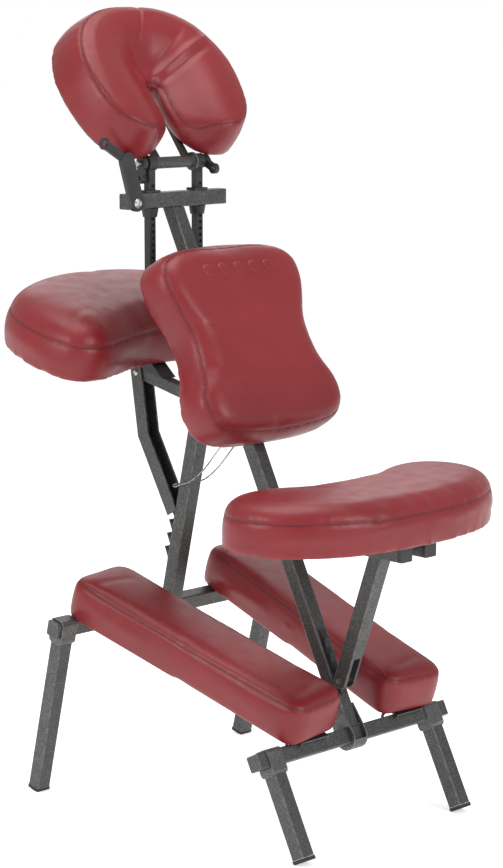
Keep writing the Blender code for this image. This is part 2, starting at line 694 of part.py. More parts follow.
def build_armrest():
    """The armrest pad on a rail that hinges on the front post."""
    matrix = plane_matrix(ARM_ORIGIN, ARM_TILT)
    pad, board = cushion("armrest_pad", smooth_outline(mirrored(ARM_OUTLINE), 3), matrix, 0.0, ARM_THICK,
                         "armrest_board", 0.026)
    half = SLIM / 2
    rail = prism("armrest_rail", rounded_bar_outline(ARM_PIN, ARM_FRONT_PIN, half), -half, half,
                 FRAME_PAINT, bevel=0.0015)
    combine(rail, [rod("rail_rear_bore", ARM_PIN, -0.05, 0.05, 0.0033)])
    angle = angle_of(ARM_PIN, ARM_FRONT_PIN)
    low = along(ARM_PIN, angle, 0.062, half + GAP)
    high = along(ARM_PIN, angle, 0.106, half + GAP)
    slope = Vector((math.cos(ARM_TILT), math.sin(ARM_TILT)))
    rise = Vector((-math.sin(ARM_TILT), math.cos(ARM_TILT)))
    base = Vector(ARM_ORIGIN) - GAP * rise
    outline = [low, high, tuple(base + 0.094 * slope), tuple(base + 0.036 * slope)]
    saddle = prism("armrest_bracket", outline, -0.0150, 0.0150, PLASTIC)
    pin = rod("armrest_hinge_pin", ARM_PIN, -0.0160, 0.0160, 0.0030, BRIGHT)
    return [pad, board, rail, saddle, pin]


def build_arm_strut():
    """The bent channel that props the armrest's front end on the post's hooks."""
    chord = angle_of(ARM_FOOT, ARM_FRONT_PIN)
    bend = along(ARM_FOOT, chord, 0.128, -0.0215)
    tail = along(ARM_FOOT, angle_of(ARM_FOOT, bend), -0.012)
    head = along(ARM_FRONT_PIN, angle_of(bend, ARM_FRONT_PIN), 0.010)
    line = [tail, bend, head]
    outer = channel_outline(line, -0.0125, 0.0125)
    inner = channel_outline([along(tail, angle_of(tail, bend), 0.018), bend,
                             along(head, angle_of(bend, head), 0.02)], -0.0105, 0.0300)
    strut = prism("armrest_strut", outer, -0.0135, 0.0135, FRAME_PAINT)
    hollow = prism("channel_hollow", inner, -0.0112, 0.0112)
    hook_room = box("strut_hook_room", (0.0224, 0.1400, 2 * ARM_TOOTH + 0.0086), place(*on_post(ARM_FOOT_UP)),
                    (POST_ANGLE, 0, 0))
    post_room = box("strut_post_room", (2 * CLEAR + 0.001, 0.1400, 2 * CLEAR + 0.0090),
                    place(*on_post(ARM_FOOT_UP)), (POST_ANGLE, 0, 0))
    combine(strut, [hollow, hook_room, post_room])
    return [strut]


def channel_outline(line, front, rear):
    """A band beside a bent line, from its front side to its rear side."""
    near = []
    far = []
    for index, spot in enumerate(line):
        before = line[max(index - 1, 0)]
        after = line[min(index + 1, len(line) - 1)]
        angle = angle_of(before, after)
        near.append(along(spot, angle, 0, front))
        far.append(along(spot, angle, 0, rear))
    return [*near, *reversed(far)]


def build_chest():
    """The chest pad on a carrier that slides on the spine and locks with a knob."""
    origin = on_spine(CHEST_SPAN[0])
    matrix = plane_matrix(origin, SPINE_ANGLE)
    pad, board = cushion("chest_pad", smooth_outline(mirrored(CHEST_OUTLINE), 3), matrix, CHEST_BACK,
                         CHEST_THICK, "chest_board", 0.026)
    inner = 2 * (HALF + 0.0005)
    outer = inner + 0.0055
    plate_low = CHEST_BACK - GAP - 0.0035
    middle = sum(SLEEVES) / 2
    carrier = box("chest_carrier", (0.0800, SLEEVES[1] - SLEEVES[0] + 0.05, 0.0035),
                  place(*on_spine(middle, plate_low + 0.00175)), (SPINE_ANGLE, 0, 0), FRAME_PAINT,
                  long_axis=2, radius=0.006)
    for index, distance in enumerate(SLEEVES):
        sleeve = box(f"sleeve_{index}", (outer, SLEEVE_LENGTH, outer + 0.0006),
                     place(*on_spine(distance, 0.0003)), (SPINE_ANGLE, 0, 0))
        combine(carrier, [sleeve], "UNION")
    combine(carrier, [box("sleeve_bore", (inner, 0.4, inner), place(*on_spine(middle)),
                          (SPINE_ANGLE, 0, 0))])
    knob = build_knob(on_spine(SLEEVES[0]), outer / 2 + GAP)
    return [pad, board, carrier], knob


def build_knob(centre, x_from):
    """A lobed clamp knob on the carrier's right side."""
    radius = 0.0138
    lobes = 6
    outline = []
    for step in range(36):
        turn = 2 * math.pi * step / 36
        reach = radius + 0.0013 * math.cos(lobes * turn)
        outline.append((centre[0] + reach * math.cos(turn), centre[1] + reach * math.sin(turn)))
    knob = prism("chest_knob", outline, x_from + 0.004, x_from + 0.018, PLASTIC)
    combine(knob, [rod("knob_boss", centre, x_from, x_from + 0.006, 0.007)], "UNION")
    return knob


# ---------------------------------------------------------------- face cradle


def build_racks():
    """Two toothed posts with clamp heads, and the axle that joins them."""
    pieces = []
    for side, sign in (("left", -1), ("right", 1)):
        x = sign * RACK_X
        height = TILT_PIN[1] - RACK_BOTTOM
        rack = box(f"rack_{side}", (RACK_SIZE, RACK_SIZE, height),
                   place(TILT_PIN[0], RACK_BOTTOM + height / 2, x), material=PLASTIC)
        head = rod(f"rack_head_{side}", TILT_PIN, x - 0.0085, x + 0.0085, 0.0125)
        combine(rack, [head], "UNION")
        notches = []
        for index in range(15):
            z = RACK_BOTTOM + 0.012 + index * 0.0105
            notches.append(box(f"rack_notch_{side}_{index}", (0.0070, 0.006, 0.0050),
                               place(TILT_PIN[0] - RACK_SIZE / 2, z, x)))
        combine(rack, notches + [rod(f"rack_bore_{side}", TILT_PIN, x - 0.05, x + 0.05, 0.0048)])
        pieces.append(rack)
    pieces.append(rod("cradle_axle", TILT_PIN, -0.0800, 0.0800, 0.0045, BRIGHT))
    return pieces


def build_cradle():
    """The U-shaped face pad on its plate, welded to the pivot tube."""
    matrix = plane_matrix(CRADLE_ORIGIN, CRADLE_TILT, CRADLE_SHIFT)
    outline = smooth_outline(mirrored(CRADLE_OUTLINE), 3)
    pad = slab("cradle_pad", outline, matrix, -0.0070, CRADLE_THICK - 0.0070, VINYL, edge=0.016)
    plate = slab("cradle_plate", outline, matrix, -0.0133, -0.0073, BOARD, inset=0.010)
    rise = (-math.sin(CRADLE_TILT), math.cos(CRADLE_TILT))
    ears = []
    for side, x in (("left", -0.0310), ("right", 0.0340)):
        foot = (CRADLE_ORIGIN[0] - 0.0103 * rise[0], CRADLE_ORIGIN[1] - 0.0103 * rise[1])
        ears.append(prism(f"plate_ear_{side}",
                          [along(foot, CRADLE_TILT, 0.072, 0.0030), along(foot, CRADLE_TILT, 0.072, -0.0030),
                           along(foot, CRADLE_TILT, 0.000, -0.0070), along(foot, CRADLE_TILT, -0.0080, -0.0070),
                           along(foot, CRADLE_TILT, -0.0080, 0.0030)], x - 0.0045, x + 0.0045))
    combine(plate, ears, "UNION")
    combine(plate, [rod("plate_tube_room", TILT_PIN, -0.06, 0.06, 0.0098)])
    tube_piece = rod("cradle_pivot_tube", TILT_PIN, -0.0430, 0.0430, 0.0095, FRAME_PAINT)
    combine(tube_piece, [rod("pivot_disc", TILT_PIN, 0.0390, 0.0430, 0.0150)], "UNION")
    combine(tube_piece, [rod("pivot_tube_bore", TILT_PIN, -0.06, 0.06, 0.0048)])
    return [pad, plate, tube_piece]


def ring_lever(name, hub, tip, x_from, x_to, hub_radius, bar_half, ring_radius, ring_hole, bore):
    """A flat lever with a hub at one end and a finger loop at the other."""
    lever = prism(name, rounded_bar_outline(hub, tip, bar_half), x_from, x_to, PLASTIC)
    combine(lever, [rod(name + "_hub", hub, x_from, x_to, hub_radius),
                    rod(name + "_ring", tip, x_from, x_to, ring_radius)], "UNION")
    combine(lever, [rod(name + "_bore", hub, x_from - 0.01, x_to + 0.01, bore),
                    rod(name + "_hole", tip, x_from - 0.01, x_to + 0.01, ring_hole)])
    return lever


def build_levers():
    """The two tilt cams on the axle and the height lock on the top crossbar's left end."""
    left_tip = (TILT_PIN[0] + 0.004, TILT_PIN[1] - 0.024)
    left = ring_lever("tilt_lever_left", TILT_PIN, left_tip, -0.0720, -0.0640, 0.0110, 0.0060, 0.0085,
                      0.0045, 0.0048)
    right_tip = (TILT_PIN[0] - 0.024, TILT_PIN[1] - 0.012)
    right = ring_lever("tilt_lever_right", TILT_PIN, right_tip, 0.0640, 0.0720, 0.0110, 0.0060, 0.0085,
                       0.0045, 0.0048)
    return left, right


def build_height_lever():
    """A bent flat handle that turns on a screw in the rear face of the top crossbar."""
    thick = 0.0080
    hub = LEVER_HUB
    elbow = (hub[0] - 0.0200, hub[1] + 0.0680)
    tip = (elbow[0] - 0.0460, elbow[1] + 0.0280)
    lever = front_plate("height_lever", rounded_bar_outline(hub, elbow, 0.0135), thick, PLASTIC)
    arm = front_plate("height_lever_arm", rounded_bar_outline(elbow, tip, 0.0070), thick * 0.7, None)
    loop = front_plate("height_lever_loop", circle_outline(tip, 0.0095, 20), thick * 0.6, None)
    combine(lever, [arm, loop], "UNION")
    combine(lever, [front_plate("height_lever_hole", circle_outline(tip, 0.0050, 16), 0.1, None),
                    front_plate("height_lever_bore", circle_outline(hub, 0.0035, 16), 0.1, None)])
    return lever


def front_plate(name, outline, thickness, material):
    """An outline in the (x, z) plane given a thickness along Y, in front of the lever's seat."""
    curve = bpy.data.curves.new(name, "CURVE")
    curve.dimensions = "2D"
    curve.fill_mode = "BOTH"
    curve.extrude = thickness / 2
    spline = curve.splines.new("POLY")
    spline.points.add(len(outline) - 1)
    for point, (x, z) in zip(spline.points, outline):
        point.co = (x, z, 0, 1)
    spline.use_cyclic_u = True
    guide = bpy.data.objects.new(name, curve)
    PARTS.objects.link(guide)
    seat_y = TOP_BAR[0] - HALF - GAP - 0.0040
    guide.matrix_world = Matrix.Translation((0, seat_y + DATUM_Y, 0)) @ Matrix.Rotation(math.pi / 2, 4, "X")
    return as_mesh(guide, name, material)


# ---------------------------------------------------------------- assembly


def build_chair():
    """Build every sub-part and hang the moving ones on their pivots."""
    trestle("rear", REAR_BAR, REAR_BAR_LENGTH, REAR_LEG_X, REAR_LEAN)
    build_spine()
    build_fold_hinge()
    build_top_bar()
    build_cable()

    front = trestle("front", FRONT_BAR, FRONT_BAR_LENGTH, FRONT_LEG_X, -FRONT_LEAN)
    hang(pivot("fold_axis", FOLD_PIN), *front, *build_post(), *build_arm_clevis())

    for index, side in enumerate(("left", "right")):
        hang(pivot(f"shin_axis_{side}", REAR_BAR), *build_shin(side, index))

    hang(pivot("seat_axis", SEAT_PIN), *build_seat())
    hang(pivot("seat_strut_axis", STRUT_PIN), *build_seat_strut())

    hang(pivot("armrest_axis", ARM_PIN), *build_armrest())
    hang(pivot("armrest_strut_axis", ARM_FRONT_PIN), *build_arm_strut())

    carriage, knob = build_chest()
    hang(pivot("chest_slide_axis", on_spine(SLEEVES[0])), *carriage)
    hang(pivot("knob_axis", on_spine(SLEEVES[0])), knob)

    hang(pivot("cradle_height_axis", TILT_PIN), *build_racks())
    hang(pivot("cradle_tilt_axis", TILT_PIN), *build_cradle())
    hang(pivot("tilt_lever_axis", TILT_PIN), *build_levers())
    hang(pivot("height_lever_axis", (TOP_BAR[0] - HALF, LEVER_HUB[1]), LEVER_HUB[0]), build_height_lever())


build_chair()
bpy.context.view_layer.update()
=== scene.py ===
"""Looks of the portable massage chair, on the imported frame. Metres, +Z up, +Y the way the sitter faces."""
import json
import math

import bmesh
import bpy
import numpy as np
from mathutils import Matrix, Vector
from mathutils.bvhtree import BVHTree


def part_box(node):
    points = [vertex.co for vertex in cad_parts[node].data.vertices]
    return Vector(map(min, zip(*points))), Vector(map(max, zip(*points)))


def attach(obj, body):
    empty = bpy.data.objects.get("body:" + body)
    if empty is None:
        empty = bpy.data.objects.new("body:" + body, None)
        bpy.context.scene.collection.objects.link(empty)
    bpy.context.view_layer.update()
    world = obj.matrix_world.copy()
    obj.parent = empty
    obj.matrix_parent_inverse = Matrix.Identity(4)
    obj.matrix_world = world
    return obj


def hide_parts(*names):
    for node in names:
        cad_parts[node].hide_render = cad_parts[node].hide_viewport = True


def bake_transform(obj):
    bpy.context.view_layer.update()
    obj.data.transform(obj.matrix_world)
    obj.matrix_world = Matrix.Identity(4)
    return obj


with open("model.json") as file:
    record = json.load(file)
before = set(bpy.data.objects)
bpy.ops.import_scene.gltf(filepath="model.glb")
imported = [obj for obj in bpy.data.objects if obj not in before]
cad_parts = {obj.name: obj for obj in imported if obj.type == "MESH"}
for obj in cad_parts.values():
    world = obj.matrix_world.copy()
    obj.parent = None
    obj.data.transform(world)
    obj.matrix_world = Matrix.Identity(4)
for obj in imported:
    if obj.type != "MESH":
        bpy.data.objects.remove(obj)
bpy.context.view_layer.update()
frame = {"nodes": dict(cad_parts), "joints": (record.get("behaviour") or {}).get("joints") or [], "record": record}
NODES = frame["nodes"]
SCENE = bpy.context.scene
JOINTS = {joint["name"]: joint for joint in frame["joints"]}

# ---------------------------------------------------------------- camera, floor and lights
CAMERA_AZIMUTH = math.radians(-44.3)
CAMERA_PITCH = math.radians(9.6)
CAMERA_DISTANCE = 3.8068
CAMERA_AIM = (-0.0070, -0.0355, 0.5997)
LENS_MM = 99.15
SENSOR_MM = 36.0
CLIP_END = 100.0
SURROUND_LIGHT = 0.55
FLOOR_HALF = 40.0
FLOOR_DROP = 0.0005
FLOOR_TONE = 0.93
FLOOR_GLOW = 0.52
LIGHT_AIM = (0, 0, 0.6)


def stand_camera():
    """A long lens at a low three-quarter view, from behind the sitter and to their left."""
    data = bpy.data.cameras.new("camera")
    data.sensor_fit = "VERTICAL"
    data.sensor_height = SENSOR_MM
    data.lens = LENS_MM
    data.clip_end = CLIP_END
    camera = bpy.data.objects.new("camera", data)
    SCENE.collection.objects.link(camera)
    camera.rotation_euler = (math.pi / 2 - CAMERA_PITCH, 0, CAMERA_AZIMUTH)
    camera.location = (Vector(CAMERA_AIM)
                       + camera.rotation_euler.to_matrix() @ Vector((0, 0, CAMERA_DISTANCE)))
    SCENE.camera = camera


def soft_box(name, place, size, power):
    """A square area light aimed at the chair's middle; the size in metres, the power in watts."""
    data = bpy.data.lights.new(name, "AREA")
    data.size = size
    data.energy = power
    light = bpy.data.objects.new(name, data)
    light.location = place
    light.rotation_euler = (Vector(LIGHT_AIM) - Vector(place)).to_track_quat("-Z", "Y").to_euler()
    SCENE.collection.objects.link(light)


def light_surround():
    """A white surround: full white to the camera, dimmer as a light."""
    world = bpy.data.worlds.new("studio")
    world.use_nodes = True
    tree = world.node_tree
    background = tree.nodes["Background"]
    background.inputs["Color"].default_value = (1.0, 1.0, 1.0, 1.0)
    seen = tree.nodes.new("ShaderNodeLightPath").outputs["Is Camera Ray"]
    strength = tree.nodes.new("ShaderNodeMapRange")
    strength.inputs["To Min"].default_value = SURROUND_LIGHT
    tree.links.new(seen, strength.inputs["Value"])
    tree.links.new(strength.outputs["Result"], background.inputs["Strength"])
    SCENE.world = world


def lay_floor():
    """A large pale floor, just under the feet."""
    work = bmesh.new()
    bmesh.ops.create_grid(work, x_segments=1, y_segments=1, size=FLOOR_HALF)
    mesh = bpy.data.meshes.new("floor")
    work.to_mesh(mesh)
    work.free()
    floor = bpy.data.objects.new("floor", mesh)
    floor.location.z = -FLOOR_DROP
    SCENE.collection.objects.link(floor)
    paper = bpy.data.materials.new("floor_paper")
    paper.use_nodes = True
    shader = paper.node_tree.nodes["Principled BSDF"]
    shader.inputs["Base Color"].default_value = (FLOOR_TONE, FLOOR_TONE, FLOOR_TONE, 1.0)
    shader.inputs["Roughness"].default_value = 0.9
    shader.inputs["Emission Color"].default_value = (1.0, 1.0, 1.0, 1.0)
    shader.inputs["Emission Strength"].default_value = FLOOR_GLOW
    mesh.materials.append(paper)


def light_studio():
    """Surround, floor and soft boxes."""
    SCENE.view_settings.view_transform = "Standard"
    light_surround()
    lay_floor()
    soft_box("top_box", (-0.2, 0.1, 3.0), 2.0, 40)
    soft_box("back_box", (1.9, 2.2, 2.4), 2.2, 15)
    soft_box("left_box", (-2.8, 0.3, 1.8), 1.0, 24)
    soft_box("front_box", (0.3, -2.8, 1.7), 1.2, 27)


# ---------------------------------------------------------------- materials


class Recipe:
    """A Principled material whose nodes are added in a few words."""

    def __init__(self, name, roughness, metallic=0.0):
        self.material = bpy.data.materials.new(name)
        self.material.use_nodes = True
        self.tree = self.material.node_tree
        self.shader = self.tree.nodes["Principled BSDF"]
        self.shader.inputs["Roughness"].default_value = roughness
        self.shader.inputs["Metallic"].default_value = metallic
        self.place = self.tree.nodes.new("ShaderNodeTexCoord").outputs["Object"]

    def node(self, kind, inputs=None, **settings):
        """Add a node, set its properties, and fill its inputs with values or links."""
        made = self.tree.nodes.new("ShaderNode" + kind)
        for key, value in settings.items():
            setattr(made, key, value)
        for key, value in (inputs or {}).items():
            self.fill(made.inputs[key], value)
        return made

    def fill(self, socket, value):
        """Give a socket a link or a value."""
        if isinstance(value, bpy.types.NodeSocket):
            self.tree.links.new(value, socket)
        elif socket.type == "RGBA" and len(value) == 3:
            socket.default_value = (*value, 1.0)
        else:
            socket.default_value = value

    def noise(self, scale, detail=3.0, rough=0.5, vector=None):
        """Noise value in object space."""
        made = self.node("TexNoise", {"Vector": vector or self.place, "Scale": scale, "Detail": detail,
                                      "Roughness": rough})
        return made.outputs["Fac"]

    def cells(self, scale, feature="F1", vector=None):
        """Voronoi distance in object space."""
        made = self.node("TexVoronoi", {"Vector": vector or self.place, "Scale": scale}, feature=feature)
        return made.outputs["Distance"]

    def stretched(self, scale):
        """Object coordinates scaled by axis."""
        return self.node("Mapping", {"Vector": self.place, "Scale": scale}).outputs["Vector"]

    def warped(self, amount, scale):
        """Object coordinates pushed about by noise."""
        push = self.node("TexNoise", {"Vector": self.place, "Scale": scale, "Detail": 2.0}).outputs["Color"]
        move = self.node("VectorMath", {0: push, "Scale": amount}, operation="SCALE").outputs["Vector"]
        return self.node("VectorMath", {0: self.place, 1: move}, operation="ADD").outputs["Vector"]

    def ramp(self, value, stops):
        """A colour ramp; stops are (position, colour)."""
        made = self.node("ValToRGB", {"Fac": value})
        ramp = made.color_ramp
        while len(ramp.elements) < len(stops):
            ramp.elements.new(0.5)
        for element, (position, colour) in zip(ramp.elements, stops):
            element.position = position
            element.color = (*colour, 1.0)
        return made.outputs["Color"]

    def mix(self, amount, first, second):
        """Mix two colours."""
        made = self.node("Mix", data_type="RGBA")
        colours = [socket for socket in made.inputs if socket.type == "RGBA"]
        self.fill(made.inputs[0], amount)
        self.fill(colours[0], first)
        self.fill(colours[1], second)
        return next(socket for socket in made.outputs if socket.type == "RGBA")

    def fit(self, value, low, high, to_low, to_high):
        """Map a value from one range to another, clamped."""
        made = self.node("MapRange", {"Value": value, "From Min": low, "From Max": high, "To Min": to_low,
                                      "To Max": to_high})
        return made.outputs["Result"]

    def times(self, first, second):
        """Multiply two values."""
        return self.node("Math", {0: first, 1: second}, operation="MULTIPLY").outputs["Value"]

    def colour(self, socket):
        """Drive the base colour."""
        self.tree.links.new(socket, self.shader.inputs["Base Color"])

    def rough(self, socket):
        """Drive the roughness."""
        self.tree.links.new(socket, self.shader.inputs["Roughness"])

    def bump(self, layers, normal=None):
        """Stack bump maps: (height, distance in metres, strength)."""
        for height, distance, strength in layers:
            inputs = {"Height": height, "Distance": distance, "Strength": strength}
            if normal:
                inputs["Normal"] = normal
            normal = self.node("Bump", inputs).outputs["Normal"]
        self.tree.links.new(normal, self.shader.inputs["Normal"])

    def edges(self, radius):
        """1 along the edges, and the normal that rounds them."""
        soft = self.node("Bevel", {"Radius": radius}, samples=4).outputs["Normal"]
        hard = self.node("NewGeometry").outputs["Normal"]
        dot = self.node("VectorMath", {0: soft, 1: hard}, operation="DOT_PRODUCT").outputs["Value"]
        return self.fit(dot, 0.995, 0.90, 0.0, 1.0), soft


def vinyl():
    """Burgundy upholstery: fine grain, faint colour drift, slight creases, and painted shade along its seams."""
    make = Recipe("burgundy_vinyl", 0.42)
    make.shader.inputs["Specular IOR Level"].default_value = 0.42
    drift = make.noise(7.0, 2.0)
    fleck = make.noise(260.0, 2.0)
    base = make.ramp(drift, [(0.30, (0.185, 0.0115, 0.0150)), (0.70, (0.232, 0.0165, 0.0205))])
    base = make.mix(make.fit(fleck, 0.35, 0.75, 0.0, 0.18), base, (0.120, 0.007, 0.010))
    seam = make.node("Attribute", attribute_name="seam").outputs["Fac"]
    # Painted shade: the vinyl darkens along the seam's groove, where shade falls.
    base = make.mix(make.fit(seam, 0.0, 1.0, 0.0, 0.35), base, (0.070, 0.005, 0.007))
    make.colour(base)
    make.rough(make.fit(make.noise(40.0, 3.0), 0.3, 0.7, 0.33, 0.44))
    grain = make.cells(900.0)
    pores = make.noise(2300.0, 2.0)
    crease = make.noise(24.0, 3.0, 0.55)
    make.bump([(crease, 0.0016, 0.28), (grain, 0.00018, 0.35), (pores, 0.00008, 0.30)])
    return make.material


def hammertone(name, lift):
    """Dark grey silver-vein powder coat with a painted highlight along its edges; lift scales its tones for lit or
    shaded copies.
    """
    make = Recipe(name, 0.42, 0.45)
    vein = make.cells(420.0, "DISTANCE_TO_EDGE", make.warped(0.002, 160.0))
    mottle = make.noise(430.0, 3.0, 0.6)
    cloud = make.noise(38.0, 2.0)
    dark = tuple(lift * tone for tone in (0.040, 0.041, 0.040))
    middle = tuple(lift * tone for tone in (0.082, 0.083, 0.081))
    light = tuple(lift * tone for tone in (0.160, 0.161, 0.157))
    base = make.ramp(mottle, [(0.34, dark), (0.52, middle), (0.72, light)])
    base = make.mix(make.fit(cloud, 0.35, 0.65, 0.30, 0.0), base, dark)
    base = make.mix(make.fit(vein, 0.02, 0.10, 0.35, 0.0), base, (0.026, 0.027, 0.026))
    # Painted highlight: the edges are lightened where light glints on them.
    edge, soft = make.edges(0.0016)
    edge_glint = make.times(edge, make.fit(make.noise(90.0, 3.0), 0.40, 0.60, 0.25, 0.95))
    base = make.mix(edge_glint, base, (0.36, 0.36, 0.35))
    make.colour(base)
    make.rough(make.fit(mottle, 0.3, 0.7, 0.48, 0.34))
    make.bump([(mottle, 0.0003, 0.30), (vein, 0.0002, 0.20)], soft)
    return make.material


def bright_steel():
    """Plain steel with fine scratches."""
    make = Recipe("bright_steel", 0.30, 1.0)
    scratch = make.noise(420.0, 3.0, 0.6, make.stretched((9.0, 1.0, 1.0)))
    make.colour(make.ramp(scratch, [(0.3, (0.40, 0.40, 0.39)), (0.7, (0.66, 0.66, 0.65))]))
    make.rough(make.fit(scratch, 0.3, 0.7, 0.24, 0.42))
    make.bump([(scratch, 0.0002, 0.25)])
    return make.material


def wire_rope():
    """A thin lanyard of twisted steel wires."""
    make = Recipe("wire_rope", 0.35, 1.0)
    strands = make.node("TexWave", {"Vector": make.place, "Scale": 160.0, "Distortion": 1.0},
                        bands_direction="DIAGONAL").outputs["Fac"]
    make.colour(make.ramp(strands, [(0.2, (0.16, 0.16, 0.16)), (0.8, (0.55, 0.55, 0.54))]))
    make.rough(make.fit(strands, 0.0, 1.0, 0.45, 0.28))
    make.bump([(strands, 0.0003, 0.6)])
    return make.material


def black_plastic():
    """Moulded black plastic with a spark-eroded texture and a painted highlight along its edges."""
    make = Recipe("black_plastic", 0.45)
    drift = make.noise(60.0, 3.0)
    edge, soft = make.edges(0.0008)
    base = make.ramp(drift, [(0.3, (0.010, 0.010, 0.011)), (0.7, (0.024, 0.024, 0.026))])
    # Painted highlight: the edges are lightened.
    make.colour(make.mix(make.times(edge, 0.6), base, (0.070, 0.070, 0.072)))
    make.rough(make.fit(drift, 0.3, 0.7, 0.38, 0.52))
    make.bump([(make.noise(1500.0, 2.0), 0.00015, 0.30)], soft)
    return make.material


def black_rubber():
    """Dull rubber with scuffs."""
    make = Recipe("black_rubber", 0.80)
    scuff = make.noise(140.0, 4.0, 0.65)
    make.colour(make.ramp(scuff, [(0.35, (0.014, 0.014, 0.014)), (0.75, (0.050, 0.049, 0.047))]))
    make.rough(make.fit(scuff, 0.3, 0.7, 0.70, 0.92))
    make.bump([(scuff, 0.0004, 0.4)])
    return make.material


def dark_board():
    """A stained plywood board: long grain and a few pores."""
    make = Recipe("dark_board", 0.62)
    grain = make.noise(14.0, 5.0, 0.6, make.stretched((1.0, 14.0, 14.0)))
    make.colour(make.ramp(grain, [(0.30, (0.012, 0.009, 0.008)), (0.70, (0.034, 0.026, 0.022))]))
    make.rough(make.fit(grain, 0.3, 0.7, 0.55, 0.72))
    make.bump([(grain, 0.0004, 0.35)])
    return make.material


def sewing(name, dark, light):
    """Twisted thread or welt cord."""
    make = Recipe(name, 0.55)
    twist = make.noise(1800.0, 2.0)
    make.colour(make.ramp(twist, [(0.3, dark), (0.7, light)]))
    make.rough(make.fit(twist, 0.3, 0.7, 0.45, 0.65))
    make.bump([(twist, 0.0002, 0.5)])
    return make.material


stand_camera()
light_studio()
VINYL = vinyl()
THREAD = sewing("seam_thread", (0.110, 0.008, 0.011), (0.230, 0.024, 0.030))
# The welt is coloured darker than the vinyl: painted shade that draws the seam's dark line.
WELT_SHADE = sewing("seam_welt_painted_shade", (0.075, 0.006, 0.008), (0.140, 0.011, 0.015))
ROPE = wire_rope()
# Lit and shaded copies of the grey coat: painted light for the sockets and welds, painted shade for the clips
# under the pads.
HAMMERTONE_LIT = hammertone("hammertone_painted_light", 1.45)
HAMMERTONE_SHADED = hammertone("hammertone_painted_shade", 0.55)
FINISH = {"hammertone_grey": hammertone("hammertone_grey", 1.0), "bright_steel": bright_steel(),
          "black_plastic": black_plastic(), "black_rubber": black_rubber(), "burgundy_vinyl": VINYL,
          "dark_board": dark_board()}


def dress_frame():
    """Give every CAD node its finish, with painted light on the sockets and painted shade on the clips."""
    slots = {part["node"]: part["material_slot"] for part in frame["record"]["subparts"]}
    for name, node in NODES.items():
        finish = FINISH[slots[name]]
        # Painted light on the sockets and the foot bracket, painted shade on the clips.
        if "socket" in name or name == "spine_foot_bracket":
            finish = HAMMERTONE_LIT
        if "clip" in name:
            finish = HAMMERTONE_SHADED
        for slot in node.material_slots:
            slot.link = "OBJECT"
            slot.material = finish


dress_frame()

# ---------------------------------------------------------------- mesh helpers


def mesh_of(name, work):
    """Turn a bmesh into a mesh."""
    mesh = bpy.data.meshes.new(name)
    work.to_mesh(mesh)
    work.free()
    return mesh


def smooth_object(name, work, material):
    """Turn a bmesh into a smooth-shaded object with one material."""
    mesh = mesh_of(name, work)
    mesh.materials.append(material)
    mesh.shade_smooth()
    made = bpy.data.objects.new(name, mesh)
    SCENE.collection.objects.link(made)
    return made


def new_piece(name, work, material, body, matrix=None):
    """Turn a bmesh into a piece with a finish that rides on a body."""
    piece = smooth_object(name, work, material)
    if matrix:
        piece.matrix_world = matrix
    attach(piece, body)


def run_modifier(piece, kind, **settings):
    """Add a modifier, set it and apply it."""
    modifier = piece.modifiers.new(kind.lower(), kind)
    for key, value in settings.items():
        setattr(modifier, key, value)
    apply_modifiers(piece)


def apply_modifiers(piece):
    """Put the modifiers' result in the mesh and drop them."""
    bpy.context.view_layer.update()
    graph = bpy.context.evaluated_depsgraph_get()
    mesh = bpy.data.meshes.new_from_object(piece.evaluated_get(graph), depsgraph=graph)
    piece.modifiers.clear()
    piece.data = mesh


def coordinates(mesh):
    """Vertex positions as an array."""
    flat = np.empty(len(mesh.vertices) * 3)
    mesh.vertices.foreach_get("co", flat)
    return flat.reshape(-1, 3)


def directions(mesh):
    """Vertex normals as an array."""
    flat = np.empty(len(mesh.vertices) * 3)
    mesh.vertices.foreach_get("normal", flat)
    return flat.reshape(-1, 3)


def move_to(mesh, points):
    """Write vertex positions back."""
    mesh.vertices.foreach_set("co", np.ascontiguousarray(points, dtype=np.float32).ravel())
    mesh.update()


def surface_of(mesh):
    """A tree for finding points on a mesh."""
    return BVHTree.FromPolygons([vertex.co for vertex in mesh.vertices],
                                [tuple(face.vertices) for face in mesh.polygons])


def nearest_spot(points, spots, block=4000):
    """Distance to the nearest of some spots, and which one it is, for each point; done in blocks."""
    reach = np.empty(len(points))
    index = np.empty(len(points), int)
    for start in range(0, len(points), block):
        gap = ((points[start:start + block, None] - spots[None]) ** 2).sum(2)
        index[start:start + block] = gap.argmin(1)
        reach[start:start + block] = np.sqrt(gap.min(1))
    return reach, index


def smooth_path(points, steps):
    """Points along a Catmull-Rom curve through the given ones."""
    path = []
    for index in range(len(points) - 1):
        before = points[max(index - 1, 0)]
        start = points[index]
        end = points[index + 1]
        after = points[min(index + 2, len(points) - 1)]
        for step in range(steps):
            t = step / steps
            path.append(0.5 * (2 * start + (end - before) * t
                               + (2 * before - 5 * start + 4 * end - after) * t ** 2
                               + (3 * start - before - 3 * end + after) * t ** 3))
    path.append(points[-1])
    return path


def sweep(points, radius, sides=8, closed=False):
    """A round tube along a path, as a bmesh; an open one has flat ends."""
    work = bmesh.new()
    count = len(points)
    rings = []
    side = None
    for index, point in enumerate(points):
        before = points[index - 1] if closed or index else point
        after = points[(index + 1) % count] if closed or index < count - 1 else point
        run = (after - before).normalized()
        guide = side if side is not None else run.orthogonal()
        side = (guide - run * guide.dot(run)).normalized()
        up = run.cross(side)
        rings.append([work.verts.new(point + radius * (math.cos(2 * math.pi * step / sides) * side
                                                       + math.sin(2 * math.pi * step / sides) * up))
                      for step in range(sides)])
    for index in range(count if closed else count - 1):
        near, far = rings[index], rings[(index + 1) % count]
        for step in range(sides):
            after = (step + 1) % sides
            work.faces.new((near[step], near[after], far[after], far[step]))
    if not closed:
        work.faces.new(list(reversed(rings[0])))
        work.faces.new(rings[-1])
    bmesh.ops.recalc_face_normals(work, faces=work.faces)
    return work


